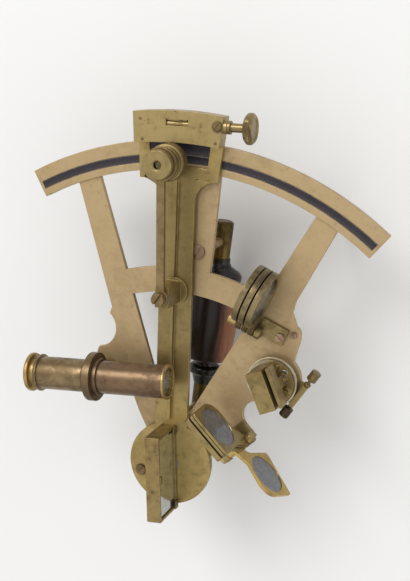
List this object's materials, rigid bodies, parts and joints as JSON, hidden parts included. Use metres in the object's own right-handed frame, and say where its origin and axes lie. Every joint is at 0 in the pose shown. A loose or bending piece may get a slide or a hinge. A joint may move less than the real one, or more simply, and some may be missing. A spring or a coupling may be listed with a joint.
{
  "type": "sextant",
  "caption": "Brass marine sextant with index arm, silver-inlaid arc, telescope, folding shades, mirrors, magnifier, slow-motion screw and wooden handle, lying face up on its feet.",
  "frame": {"origin": "on the axis of the index arm, at the end of the foot below it, where the instrument rests", "axes": "+Z out of the face, +Y from the pivot to the middle of the arc, +X to the right seen from the face"},
  "size_m": [0.2136, 0.2391, 0.0995],
  "materials": {
    "frame_brass": "aged lacquered brass, worn matt tan",
    "arm_brass": "olive tarnished brass, satin",
    "tube_brass": "rosy brown tarnished brass, satin",
    "bright_brass": "turned brass, handled bright",
    "steel": "dulled steel",
    "silver": "blackened silver with fine divisions",
    "black_fittings": "black lacquer, satin",
    "mahogany": "dark polished mahogany",
    "mirror_glass": "silvered glass with a worn back",
    "lens_glass": "clear ground glass",
    "grey_glass": "neutral grey tinted glass",
    "brown_glass": "smoky brown tinted glass"
  },
  "bodies": {
    "root": {"frame": "frame_brass", "arc_scale": "silver", "pivot_bush": "bright_brass", "pivot_foot": "frame_brass", "frame_feet": "frame_brass", "frame_screws": "bright_brass", "handle_pillars": "frame_brass", "handle_ferrules": "bright_brass", "handle_fittings": "black_fittings", "handle_grip": "mahogany", "handle_rod": "steel", "rising_guide": "frame_brass", "adjusting_bar": "frame_brass", "index_shade_bracket": "frame_brass", "index_shade_pin": "arm_brass", "horizon_shade_bracket": "frame_brass", "horizon_shade_pin": "arm_brass"},
    "arm": {"index_arm": "arm_brass", "pivot_axle": "steel", "vernier": "silver", "arm_screws": "bright_brass", "index_mirror_frame": "arm_brass", "index_mirror_glass": "mirror_glass", "mirror_clips": "arm_brass", "tangent_box": "arm_brass", "swivel_post": "arm_brass"},
    "tangent_screw": {"tangent_screw": "bright_brass"},
    "clamp": {"clamp_block": "arm_brass"},
    "clamp_screw": {"clamp_screw": "bright_brass"},
    "magnifier": {"loupe_arm": "arm_brass", "loupe_pivot_screw": "bright_brass"},
    "magnifier_barrel": {"loupe_barrel": "arm_brass", "loupe_lens": "lens_glass"},
    "telescope": {"telescope_collar": "arm_brass", "adapter_ring": "tube_brass", "telescope_tube": "tube_brass", "objective_cell": "tube_brass", "objective_lens": "lens_glass"},
    "draw_tube": {"draw_tube": "tube_brass", "eyepiece_cup": "tube_brass", "eyepiece_lens": "lens_glass"},
    "rising_screw": {"rising_screw": "bright_brass"},
    "horizon_mirror": {"horizon_base": "arm_brass", "horizon_mirror_frame": "arm_brass", "horizon_mirror_glass": "mirror_glass"},
    "adjusting_spindle": {"adjusting_spindle": "arm_brass"},
    "index_shade_1": {"index_shade_1": "arm_brass", "index_glass_1": "grey_glass"},
    "index_shade_2": {"index_shade_2": "arm_brass", "index_glass_2": "grey_glass"},
    "index_shade_3": {"index_shade_3": "arm_brass", "index_glass_3": "brown_glass"},
    "index_shade_4": {"index_shade_4": "arm_brass", "index_glass_4": "grey_glass"},
    "horizon_shade_1": {"horizon_shade_1": "arm_brass", "horizon_glass_1": "grey_glass"},
    "horizon_shade_2": {"horizon_shade_2": "arm_brass", "horizon_glass_2": "brown_glass"},
    "horizon_shade_3": {"horizon_shade_3": "arm_brass", "horizon_glass_3": "grey_glass"}
  },
  "joints": [
    {"name": "index_arm_swing", "type": "hinge", "parent": "root", "child": "arm", "pos_m": [0, 0, 0.063], "axis": [0, 0, 1], "range_deg": [-13, 22]},
    {"name": "tangent_screw_turn", "type": "hinge", "parent": "arm", "child": "tangent_screw", "pos_m": [-0.01812, 0.19908, 0.06985], "axis": [0.9959, 0.0906, 0], "range_deg": [-1080, 1080]},
    {"name": "clamp_travel", "type": "hinge", "parent": "arm", "child": "clamp", "pos_m": [0, 0, 0.063], "axis": [0, 0, 1], "range_deg": [-0.56, 0.56]},
    {"name": "clamp_screw_turn", "type": "hinge", "parent": "clamp", "child": "clamp_screw", "pos_m": [-0.01654, 0.18175, 0.053], "axis": [0, 0, 1], "range_deg": [-360, 360]},
    {"name": "magnifier_swing", "type": "hinge", "parent": "arm", "child": "magnifier", "pos_m": [-0.00952, 0.10457, 0.0862], "axis": [0, 0, 1], "range_deg": [-10, 10]},
    {"name": "magnifier_focus", "type": "slide", "parent": "magnifier", "child": "magnifier_barrel", "axis": [0, 0, 1], "range_m": [-0.0015, 0.0015]},
    {"name": "rising_screw_turn", "type": "hinge", "parent": "root", "child": "rising_screw", "pos_m": [-0.04687, 0.04805, 0.038], "axis": [0, 0, 1], "range_deg": [-541, 1801]},
    {"name": "telescope_rise", "type": "slide", "parent": "root", "child": "telescope", "axis": [0, 0, 1], "range_m": [-0.0015, 0.005]},
    {"name": "draw_tube_slide", "type": "slide", "parent": "telescope", "child": "draw_tube", "axis": [-0.9881, -0.154, 0], "range_m": [0, 0.012]},
    {"name": "adjusting_screw_turn", "type": "hinge", "parent": "root", "child": "adjusting_spindle", "pos_m": [0.06937, 0.05615, 0.0645], "axis": [0.4695, 0.8829, 0], "range_deg": [-720, 720]},
    {"name": "horizon_mirror_turn", "type": "hinge", "parent": "root", "child": "horizon_mirror", "pos_m": [0.0548, 0.0639, 0.063], "axis": [0, 0, 1], "range_deg": [-2.05, 2.05]},
    {"name": "index_shade_1_fold", "type": "hinge", "parent": "root", "child": "index_shade_1", "pos_m": [0.01419, -0.01171, 0.0678], "axis": [0.6363, 0.7714, 0], "range_deg": [-157.3, 0]},
    {"name": "index_shade_2_fold", "type": "hinge", "parent": "root", "child": "index_shade_2", "pos_m": [0.01419, -0.01171, 0.0678], "axis": [0.6363, 0.7714, 0], "range_deg": [0, 157.3]},
    {"name": "index_shade_3_fold", "type": "hinge", "parent": "root", "child": "index_shade_3", "pos_m": [0.01419, -0.01171, 0.0678], "axis": [0.6363, 0.7714, 0], "range_deg": [0, 157.3]},
    {"name": "index_shade_4_fold", "type": "hinge", "parent": "root", "child": "index_shade_4", "pos_m": [0.01419, -0.01171, 0.0678], "axis": [0.6363, 0.7714, 0], "range_deg": [0, 157.3]},
    {"name": "horizon_shade_1_fold", "type": "hinge", "parent": "root", "child": "horizon_shade_1", "pos_m": [0.0294, 0.0945, 0.067], "axis": [0.9537, -0.3007, 0], "range_deg": [0, 120]},
    {"name": "horizon_shade_2_fold", "type": "hinge", "parent": "root", "child": "horizon_shade_2", "pos_m": [0.0294, 0.0945, 0.067], "axis": [0.9537, -0.3007, 0], "range_deg": [0, 120]},
    {"name": "horizon_shade_3_fold", "type": "hinge", "parent": "root", "child": "horizon_shade_3", "pos_m": [0.0294, 0.0945, 0.067], "axis": [0.9537, -0.3007, 0], "range_deg": [0, 120]}
  ],
  "couplings": [
    {"joint": "clamp_travel", "follows": "tangent_screw_turn", "ratio": 0.0004777},
    {"joint": "rising_screw_turn", "follows": "telescope_rise", "rad_per_m": 6283.2},
    {"joint": "horizon_mirror_turn", "follows": "adjusting_screw_turn", "ratio": 0.0027778}
  ]
}
